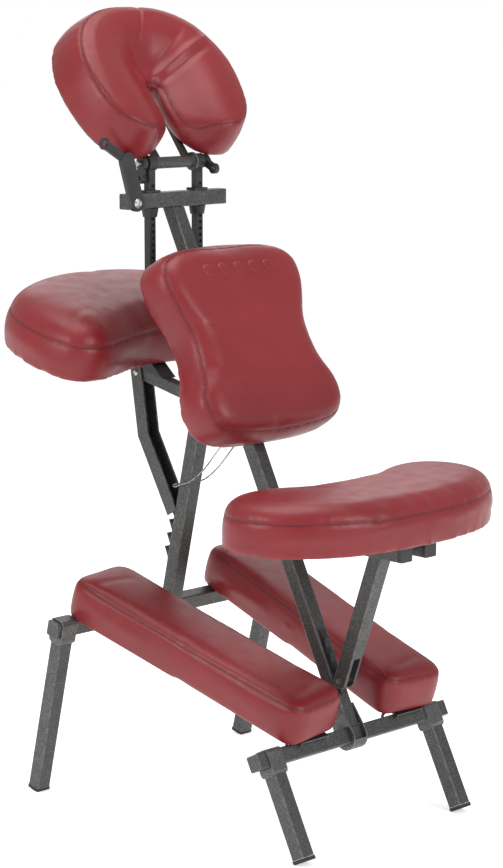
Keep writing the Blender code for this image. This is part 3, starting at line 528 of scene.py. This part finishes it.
def lathe(profile, steps=24):
    """A bmesh turned about Z from (radius, height) points; the first and last lie on the axis."""
    work = bmesh.new()
    rings = []
    for radius, height in profile[1:-1]:
        rings.append([work.verts.new((radius * math.cos(2 * math.pi * step / steps),
                                      radius * math.sin(2 * math.pi * step / steps), height))
                      for step in range(steps)])
    first = work.verts.new((0, 0, profile[0][1]))
    last = work.verts.new((0, 0, profile[-1][1]))
    for step in range(steps):
        after = (step + 1) % steps
        work.faces.new((first, rings[0][after], rings[0][step]))
        work.faces.new((last, rings[-1][step], rings[-1][after]))
        for low, high in zip(rings, rings[1:]):
            work.faces.new((low[step], low[after], high[after], high[step]))
    bmesh.ops.recalc_face_normals(work, faces=work.faces)
    return work


# ---------------------------------------------------------------- lanyard
CABLE_RADIUS = 0.0012
CABLE_HALF_WIDTH = 0.0165


def lanyard_route():
    """The cable's centreline: down from the spine, round the strut's lug and back, as in the CAD."""
    shift = -0.0423     # puts the middle of the chair's depth at zero
    lug = (0.1902, 0.4924)
    run = [(0.0300, 0.6060), (0.0480, 0.5930), (0.0780, 0.5620), (0.1080, 0.5300), (0.1400, 0.5060),
           (lug[0] - 0.028, lug[1] + 0.006)]
    left = [Vector((-CABLE_HALF_WIDTH, y + shift, z)) for y, z in run]
    turn = [Vector((-CABLE_HALF_WIDTH * math.cos(math.pi * step / 6),
                    lug[0] - 0.014 + CABLE_HALF_WIDTH * math.sin(math.pi * step / 6) + shift, lug[1]))
            for step in range(7)]
    right = [Vector((CABLE_HALF_WIDTH, point.y, point.z)) for point in reversed(left)]
    return smooth_path([*left, *turn, *right], 3)


def build_lanyard():
    """The steel lanyard, which follows the spine at one end and the front post at the other."""
    path = lanyard_route()
    piece = smooth_object("lanyard", sweep(path, CABLE_RADIUS), ROPE)
    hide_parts("lanyard_cable")
    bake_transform(piece)


build_lanyard()

# ---------------------------------------------------------------- cushions
SEAM_PITCH = 0.004
GROOVE_WIDTH = 0.0038   # of the groove that the seam presses into the cover
GROOVE_DEPTH = 0.0013
PUCKER = 0.25           # how much deeper or shallower the groove gets along its way
PUCKER_RATE = (310, 290)
SHADE_WIDTH = 0.0020    # of the painted shade along the seam
WELT_DEPTH = 0.0011
WELT_RADIUS = 0.0007
STITCH_OFFSET = 0.0030  # from the seam to its row of stitches
STITCH_HALF = 0.0013
STITCH_RADIUS = 0.00038
STITCH_SIDES = 6
HELD_HEIGHT = 0.015     # below this the cover is stapled to its board, and hardly moves
TUCK_HEIGHT = 0.012     # how far up the underside's tuck reaches
WALL_DEPTH = 0.020      # how far in from the wall a push on it is felt
FOLDS_START = 0.35      # part of a pad's height that has no folds
ABOVE = 0.3             # higher than any pad, in a pad's own frame
PRESSURE = 4.0
SETTLE_FRAMES = 20


def local_frame(node, lengthwise=False):
    """A pad's own frame from its CAD solid: z out of its top face, y along it, zero at the underside."""
    mesh = NODES[node].data
    points = np.array([vertex.co for vertex in mesh.vertices])
    areas = {}
    for face in mesh.polygons:
        key = tuple(round(c, 3) for c in face.normal)
        areas[key] = areas.get(key, 0.0) + face.area
    normal = Vector(max((key for key in areas if key[2] > 0.1), key=lambda key: areas[key])).normalized()
    across = Vector((1, 0, 0))
    if lengthwise:
        flat = points - points.mean(0)
        flat = flat - np.outer(flat @ np.array(normal), np.array(normal))
        along = Vector(np.linalg.svd(flat, full_matrices=False)[2][0])
        along = along if along.y > 0 else -along
        across = along.cross(normal).normalized()
    along = normal.cross(across).normalized()
    turn = Matrix((across, along, normal)).transposed()
    local = points @ np.array(turn)
    low = local.min(0)
    high = local.max(0)
    origin = turn @ Vector(((low[0] + high[0]) / 2, low[1], low[2]))
    return Matrix.Translation(origin) @ turn.to_4x4(), high - low


def outline_of(node, matrix, level):
    """The pad's outline at a height in its own frame, anticlockwise, as an array of points."""
    work = bmesh.new()
    work.from_mesh(NODES[node].data)
    bmesh.ops.transform(work, matrix=matrix.inverted(), verts=work.verts)
    bmesh.ops.remove_doubles(work, verts=work.verts, dist=0.00002)
    cut = bmesh.ops.bisect_plane(work, geom=[*work.verts, *work.edges, *work.faces], dist=0.00001,
                                 plane_co=(0, 0, level), plane_no=(0, 0, 1))["geom_cut"]
    near = {}
    for edge in cut:
        if isinstance(edge, bmesh.types.BMEdge):
            for vertex in edge.verts:
                near.setdefault(vertex, []).append(edge.other_vert(vertex))
    start = next(iter(near))
    ring = [start]
    last, spot = start, near[start][0]
    while spot is not start:
        ring.append(spot)
        last, spot = spot, next(vertex for vertex in near[spot] if vertex is not last)
    loop = np.array([(vertex.co.x, vertex.co.y) for vertex in ring])
    work.free()
    turned = np.roll(loop, -1, 0)
    if (loop[:, 0] * turned[:, 1] - loop[:, 1] * turned[:, 0]).sum() < 0:
        loop = loop[::-1]
    return resample(loop, SEAM_PITCH)


def resample(loop, pitch):
    """Points at an even pitch along a closed loop."""
    closed = np.vstack([loop, loop[:1]])
    steps = np.r_[0, np.cumsum(np.linalg.norm(np.diff(closed, axis=0), axis=1))]
    at = np.linspace(0, steps[-1], int(steps[-1] / pitch), endpoint=False)
    return np.stack([np.interp(at, steps, closed[:, axis]) for axis in range(2)], 1)


def outline_normals(loop):
    """Inward normals of an anticlockwise loop, smoothed a little."""
    run = np.roll(loop, -2, 0) - np.roll(loop, 2, 0)
    normal = np.stack([-run[:, 1], run[:, 0]], 1)
    return normal / np.linalg.norm(normal, axis=1, keepdims=True)


def nearest_edge(points, loop, normals):
    """Distance inside the loop and inward direction for 2-D points."""
    reach, index = nearest_spot(points, loop)
    inward = normals[index]
    side = ((points - loop[index]) * inward).sum(1)
    reach = np.where(reach < 1.5 * SEAM_PITCH, side, np.sign(side) * reach)
    return np.maximum(reach, 0.0), inward


def prism_mesh(name, loop, height):
    """A closed prism on a loop, as a mesh in the pad's frame."""
    work = bmesh.new()
    low = [work.verts.new((x, y, 0)) for x, y in loop]
    high = [work.verts.new((x, y, height)) for x, y in loop]
    work.faces.new(list(reversed(low)))
    work.faces.new(high)
    for index in range(len(loop)):
        after = (index + 1) % len(loop)
        work.faces.new((low[index], low[after], high[after], high[index]))
    bmesh.ops.triangulate(work, faces=[face for face in work.faces if len(face.verts) > 4])
    return mesh_of(name, work)


def puff(piece, cap):
    """Blow the cover up a little with Cloth, no point moving further than the cap."""
    before = coordinates(piece.data)
    modifier = piece.modifiers.new("cloth", "CLOTH")
    cloth = modifier.settings
    cloth.quality = 4
    cloth.mass = 0.4
    cloth.tension_stiffness = 12
    cloth.compression_stiffness = 12
    cloth.shear_stiffness = 6
    cloth.bending_stiffness = 5.0
    cloth.use_pressure = True
    cloth.uniform_pressure_force = PRESSURE
    cloth.effector_weights.gravity = 0
    modifier.collision_settings.use_collision = False
    for number in range(1, SETTLE_FRAMES + 1):
        SCENE.frame_set(number)
    apply_modifiers(piece)
    SCENE.frame_set(1)
    held = np.clip(before[:, 2] / HELD_HEIGHT, 0.15, 1.0)[:, None]
    move = (coordinates(piece.data) - before) * held
    far = np.linalg.norm(move, axis=1, keepdims=True)
    move_to(piece.data, before + move * np.minimum(1.0, cap / np.maximum(far, 1e-9)))


def crease(flat, start, end, width, lift):
    """Height of one fold, or of one valley where lift is negative, along a line on the top panel."""
    start, end = np.array(start), np.array(end)
    run = end - start
    t = ((flat - start) @ run) / (run @ run)
    away = np.linalg.norm(flat - start - np.outer(np.clip(t, 0, 1), run), axis=1)
    taper = np.sqrt(np.sin(math.pi * np.clip(0.08 + 0.84 * t, 0, 1)).clip(0, 1))
    return lift * taper * np.exp(-(away / width) ** 2)


def bump_at(flat, spot, spread, lift):
    """Height of a soft mound."""
    away = (flat - np.array(spot)) / np.array(spread)
    return lift * np.exp(-(away ** 2).sum(1))


class Pad:
    """One upholstered cushion: built in its own frame, blown up a little, and sewn along its seam.

    The seam is the height of the wall's top edge, and the crown is the rise of the rounded shoulder.
    """
    lean = 0.0          # how far the wall leans in by the seam
    belly = 0.002       # how far the wall swells between underside and seam
    tuck = 0.002        # how far the cover pulls in at the underside
    inset = 0.0005      # how far the whole wall stands in from the CAD outline
    round_off = 0.030   # width of the rounded shoulder
    dome = 0.006        # rise of the top panel's middle
    voxel = 0.005
    cap = 0.005         # most that the simulation may move a point
    panel_seam = None   # seam's distance inside the edge of the top panel; None puts it on the wall
    lengthwise = False

    def __init__(self, node, body, seam, crown):
        self.node, self.body, self.seam, self.crown = node, body, seam, crown
        self.matrix, self.size = local_frame(node, self.lengthwise)
        self.loop = outline_of(node, self.matrix, self.size[2] * 0.5)
        self.normals = outline_normals(self.loop)
        self.build()

    def relief(self, flat):
        """Extra height of the top panel."""
        return np.zeros(len(flat))

    def folds(self, flat):
        """Creases pressed into the finished cover."""
        return np.zeros(len(flat))

    def lean_at(self, flat):
        """Lean of the wall by place."""
        return np.full(len(flat), self.lean)

    def seam_height(self, flat):
        """Height of the wall's top edge."""
        return self.seam + self.relief(flat)

    def top_height(self, flat, depth):
        """Height of the top panel at a depth inside the outline."""
        bend = np.clip(depth / self.round_off, 0, 1)
        shoulder = self.crown * np.sqrt(1 - (1 - bend) ** 2)
        middle = 1 - (1 - np.clip(depth / max(depth.max(), 0.001), 0, 1)) ** 2
        return self.seam_height(flat) + shoulder + self.dome * middle

    def shape(self, points):
        """Warp the plain prism into the cushion."""
        flat = points[:, :2]
        depth, inward = nearest_edge(flat, self.loop, self.normals)
        height = points[:, 2] / self.size[2] * self.top_height(flat, depth)
        part = np.clip(height / self.seam_height(flat), 0, 1)
        foot = self.tuck * np.clip(1 - height / TUCK_HEIGHT, 0, 1) ** 2
        inset = self.inset + foot + self.lean_at(flat) * part - self.belly * np.sin(math.pi * part)
        push = inset * np.exp(-depth / WALL_DEPTH)
        return np.column_stack([flat + inward * push[:, None], height])

    def build(self):
        """Make the cushion, sew it, and put it in place."""
        name = self.node + "_cover"
        self.piece = bpy.data.objects.new(name, prism_mesh(name, self.loop, self.size[2]))
        SCENE.collection.objects.link(self.piece)
        run_modifier(self.piece, "REMESH", mode="VOXEL", voxel_size=self.voxel)
        move_to(self.piece.data, self.shape(coordinates(self.piece.data)))
        run_modifier(self.piece, "SMOOTH", factor=0.5, iterations=2)
        puff(self.piece, self.cap)
        run_modifier(self.piece, "SMOOTH", factor=0.5, iterations=6)
        run_modifier(self.piece, "SUBSURF", levels=1, subdivision_type="CATMULL_CLARK")
        points = coordinates(self.piece.data)
        on_top = points[:, 2] > self.size[2] * FOLDS_START
        rise = self.folds(points[:, :2]) * on_top
        move_to(self.piece.data, points + directions(self.piece.data) * rise[:, None])
        self.sew()
        self.piece.data.materials.clear()
        self.piece.data.materials.append(VINYL)
        self.piece.data.shade_smooth()
        self.piece.matrix_world = self.matrix
        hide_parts(self.node)
        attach(self.piece, self.body)

    def seam_line(self, tree):
        """Points of the seam on the cover, with the cover's normal at each."""
        line = []
        heights = self.seam_height(self.loop)
        leans = self.lean_at(self.loop)
        for spot, inward, height, lean in zip(self.loop, self.normals, heights, leans):
            if self.panel_seam is None:
                start = Vector((*(spot - WALL_DEPTH * inward), height))
                aim = Vector((*inward, 0.0))
            else:
                start = Vector((*(spot + (self.panel_seam + self.inset + lean) * inward), ABOVE))
                aim = Vector((0.0, 0.0, -1.0))
            hit, normal, _, _ = tree.ray_cast(start, aim)
            if hit is not None:
                line.append((hit, normal))
        return line

    def sew(self):
        """Press the seam into the cover, then lay the welt and the stitches along it."""
        mesh = self.piece.data
        line = self.seam_line(surface_of(mesh))
        points = coordinates(mesh)
        near, _ = nearest_spot(points, np.array([spot for spot, _ in line]))
        press = GROOVE_DEPTH * np.exp(-(near / GROOVE_WIDTH) ** 2)
        pucker = 1 + PUCKER * np.sin(points[:, 0] * PUCKER_RATE[0]) * np.sin(points[:, 1] * PUCKER_RATE[1])
        move_to(mesh, points - directions(mesh) * (press * pucker)[:, None])
        # This seam mask drives the vinyl's painted shade along the groove.
        shade = mesh.attributes.new("seam", "FLOAT", "POINT")
        shade.data.foreach_set("value", np.exp(-(near / SHADE_WIDTH) ** 2))
        sunk = [spot - WELT_DEPTH * normal for spot, normal in line]
        new_piece(self.node + "_welt", sweep(sunk, WELT_RADIUS, 6, closed=True), WELT_SHADE, self.body,
                  self.matrix)
        self.stitch(line)

    def stitch(self, line):
        """A row of stitches beside the welt, above it on a wall and inside it on a panel."""
        tree = surface_of(self.piece.data)
        work = bmesh.new()
        for index, (spot, normal) in enumerate(line):
            run = (line[(index + 1) % len(line)][0] - line[index - 1][0]).normalized()
            beside = normal.cross(run).normalized()
            hit, up, _, _ = tree.find_nearest(spot + STITCH_OFFSET * beside)
            add_stitch(work, hit, run, up)
        new_piece(self.node + "_stitches", work, THREAD, self.body, self.matrix)


def add_stitch(work, centre, run, up):
    """One short tapered thread lying on the cover."""
    side = up.cross(run).normalized()
    rings = []
    for offset in (-0.6, 0.6):
        middle = centre + offset * STITCH_HALF * run + 0.6 * STITCH_RADIUS * up
        turns = [2 * math.pi * step / STITCH_SIDES for step in range(STITCH_SIDES)]
        rings.append([work.verts.new(middle + STITCH_RADIUS * (math.cos(turn) * side + math.sin(turn) * up))
                      for turn in turns])
    tips = [work.verts.new(centre + sign * STITCH_HALF * run - STITCH_RADIUS * up) for sign in (-1, 1)]
    for step in range(STITCH_SIDES):
        after = (step + 1) % STITCH_SIDES
        work.faces.new((rings[0][step], rings[0][after], rings[1][after], rings[1][step]))
        work.faces.new((tips[0], rings[0][after], rings[0][step]))
        work.faces.new((tips[1], rings[1][step], rings[1][after]))


class SeatPad(Pad):
    """The seat: a saddle with two raised lobes at the rear."""
    round_off = 0.034
    dome = 0.004
    lean = 0.002

    def relief(self, flat):
        """Raised lobes."""
        lobes = bump_at(flat, (0.165, 0.13), (0.08, 0.10), 0.004)
        return lobes + bump_at(flat, (-0.165, 0.13), (0.08, 0.10), 0.004)

    def folds(self, flat):
        """Faint drag lines across the saddle."""
        left = crease(flat, (-0.10, 0.16), (-0.03, 0.10), 0.010, -0.0010)
        return left + crease(flat, (0.02, 0.17), (0.09, 0.12), 0.011, -0.0010)


class ChestPad(Pad):
    """The chest pad, seamed just inside its face."""
    round_off = 0.024
    dome = 0.006
    panel_seam = 0.0085
    belly = 0.003
    inset = -0.0025

    def folds(self, flat):
        """Faint creases where the sides pull in."""
        lines = [((-0.120, 0.190), (0.020, 0.176)), ((-0.040, 0.215), (0.118, 0.205)),
                 ((-0.100, 0.100), (0.060, 0.092)), ((-0.060, 0.145), (0.110, 0.150))]
        return sum(crease(flat, start, end, 0.006, -0.0009) for start, end in lines)


class ArmPad(Pad):
    """The armrest: tall walls that lean in, and a broad dome."""
    round_off = 0.055
    dome = 0.010
    lean = 0.004
    belly = 0.005
    inset = -0.0070

    def folds(self, flat):
        """Soft puckers by the rear corner."""
        first = crease(flat, (-0.205, 0.045), (-0.150, 0.070), 0.009, -0.0012)
        return first + crease(flat, (-0.150, 0.025), (-0.120, 0.060), 0.009, -0.0012)


class CradlePad(Pad):
    """The U-shaped face pad, dished towards its slot and gathered above it."""
    round_off = 0.014
    dome = 0.001
    voxel = 0.004
    panel_seam = 0.0060
    belly = 0.003
    inset = -0.0030
    slot_base = 0.008   # where the lobes end
    slot_length = 0.126
    slot_half = 0.020
    slot_dish = 0.038

    def slot_distance(self, flat):
        """Distance from the slot's edge."""
        up = np.clip(flat[:, 1] - self.slot_base, 0.0, self.slot_length)
        away = np.hypot(flat[:, 0], flat[:, 1] - self.slot_base - up)
        return np.maximum(away - self.slot_half, 0.0)

    def relief(self, flat):
        """The dish."""
        return -self.slot_dish * np.exp(-(self.slot_distance(flat) / 0.048) ** 2)

    def lean_at(self, flat):
        """Outer walls lean in; the slot's walls lean over the slot."""
        return 0.012 - 0.020 * np.exp(-(self.slot_distance(flat) / 0.018) ** 2)

    def folds(self, flat):
        """Gathers that fan out from the top of the slot, and the crown's panel seam."""
        top = self.slot_base + self.slot_length
        fan = [((0.012, top + 0.006), (0.125, top + 0.055), 0.0070, 0.0034),
               ((0.020, top - 0.006), (0.115, top + 0.034), 0.0060, -0.0028),
               ((0.006, top + 0.014), (0.085, top + 0.075), 0.0070, -0.0020),
               ((-0.010, top + 0.006), (-0.040, top + 0.078), 0.0080, -0.0020),
               ((-0.018, top + 0.002), (-0.070, top + 0.050), 0.0070, 0.0016),
               ((0.024, 0.270), (-0.008, 0.195), 0.0032, -0.0020)]
        return sum(crease(flat, start, end, width, lift) for start, end, width, lift in fan)


class ShinPad(Pad):
    """A long shin pad."""
    lengthwise = True
    round_off = 0.016
    dome = 0.004
    panel_seam = 0.0050
    cap = 0.003

    def folds(self, flat):
        """Slack wrinkles near the ends."""
        rear = crease(flat, (-0.040, 0.030), (0.030, 0.046), 0.008, -0.0012)
        return rear + crease(flat, (-0.045, 0.440), (0.020, 0.425), 0.008, -0.0010)


SeatPad("seat_pad", "seat", 0.050, 0.020)
CHEST = ChestPad("chest_pad", "chest", 0.050, 0.018)
ArmPad("armrest_pad", "armrest", 0.058, 0.030)
CradlePad("cradle_pad", "face_cradle", 0.063, 0.011)
for side in ("left", "right"):
    ShinPad(f"shin_pad_{side}", f"shin_{side}", 0.056, 0.009)

# ---------------------------------------------------------------- ornament and fasteners


def build_motif(pad):
    """A row of plain round bosses near the top of the chest pad, each a square grid bent into a disc."""
    count = 5
    pitch = 0.0330
    half = 0.0110
    lift = 0.0030
    sink = 0.0004
    from_top = 0.048
    steps = 10
    tree = surface_of(pad.piece.data)
    work = bmesh.new()
    for number in range(count):
        middle = Vector(((number - (count - 1) / 2) * pitch, pad.size[1] - from_top))
        grid = []
        for row in range(steps + 1):
            line = []
            for column in range(steps + 1):
                u = 2 * column / steps - 1
                v = 2 * row / steps - 1
                spot = middle + half * Vector((u * math.sqrt(1 - v * v / 2), v * math.sqrt(1 - u * u / 2)))
                hit, normal, _, _ = tree.ray_cast(Vector((*spot, ABOVE)), Vector((0, 0, -1)))
                rise = lift * math.sqrt(1 - max(abs(u), abs(v)) ** 2) - sink
                line.append(work.verts.new(hit + normal * rise))
            grid.append(line)
        for row in range(steps):
            for column in range(steps):
                work.faces.new((grid[row][column], grid[row][column + 1],
                                grid[row + 1][column + 1], grid[row + 1][column]))
    new_piece("chest_motif", work, VINYL, pad.body, pad.matrix)


def bolt(name, body, place, axis, radius):
    """A domed bolt head on a washer, facing along an axis, with a shallow socket in its middle."""
    washer = [(0, 0), (1.25, 0), (1.25, 0.16)]
    head = [(1.02, 0.20), (0.98, 0.40), (0.72, 0.66), (0.36, 0.74)]
    socket = [(0.30, 0.46), (0, 0.44)]
    profile = [(radius * out, radius * up) for out, up in (*washer, *head, *socket)]
    turn = Vector(axis).to_track_quat("Z", "Y").to_matrix().to_4x4()
    new_piece(name, lathe(profile), FINISH["bright_steel"], body,
              Matrix.Translation(place) @ turn)


def joint_spot(name):
    """Where a joint's axis passes."""
    return Vector(JOINTS[name]["pos_m"])


def fit_bolts():
    """Bolt heads at both ends of each pivot."""
    sides = (("left", -1), ("right", 1))
    pivots = [("seat_prop_swing", "seat", "seat_rail_right", 0.0060),
              ("seat_tilt", "seat", "seat_rail_right", 0.0065),
              ("main_fold", "frame", "fold_clevis", 0.0065),
              ("armrest_tilt", "front_frame", "armrest_clevis", 0.0050),
              ("armrest_prop_swing", "armrest_prop", "armrest_strut", 0.0042)]
    for joint, body, node, radius in pivots:
        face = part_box(node)[1][0]
        spot = joint_spot(joint)
        for side, sign in sides:
            bolt(f"{joint}_bolt_{side}", body, (sign * face, spot.y, spot.z), (sign, 0, 0), radius)
    low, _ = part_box("height_lever")
    hub = joint_spot("height_lock_turn")
    bolt("height_lever_screw", "frame", (hub.x, low[1], hub.z), (0, -1, 0), 0.0062)


def bar_lean(points):
    """How far a square bar is turned about X."""
    middle = (points.min(0) + points.max(0)) / 2
    flat = points[:, 1:] - middle[1:]
    corner = flat[np.argmax(flat[:, 1])]
    return math.atan2(corner[1], corner[0]) - math.pi / 4


def weld_bead(node, body):
    """A ripple of weld round the square crossbar at a socket's inner face."""
    half = 0.0128
    corner = 1.25 * half
    ripples = 48
    ripple = 0.0004
    bead_radius = 0.0016
    low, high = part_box(node)
    inner = low[0] if abs(low[0]) < abs(high[0]) else high[0]
    bar = coordinates(NODES["rear_crossbar" if "rear" in node else "front_crossbar"].data)
    centre = (bar.min(0) + bar.max(0)) / 2
    lean = bar_lean(bar)
    ring = []
    for step in range(ripples):
        turn = 2 * math.pi * step / ripples
        reach = min(half / max(abs(math.cos(turn)), abs(math.sin(turn))), corner)
        reach += ripple * math.sin(step * 2.1)
        ring.append(Vector((inner, centre[1] + reach * math.cos(turn + lean),
                            centre[2] + reach * math.sin(turn + lean))))
    # The bead takes the lit copy of the coat: painted light.
    new_piece(node + "_weld", sweep(ring, bead_radius, 6, closed=True), HAMMERTONE_LIT, body)


build_motif(CHEST)
fit_bolts()
for end, owner in (("rear", "frame"), ("front", "front_frame")):
    for side in ("left", "right"):
        weld_bead(f"{end}_socket_{side}", owner)
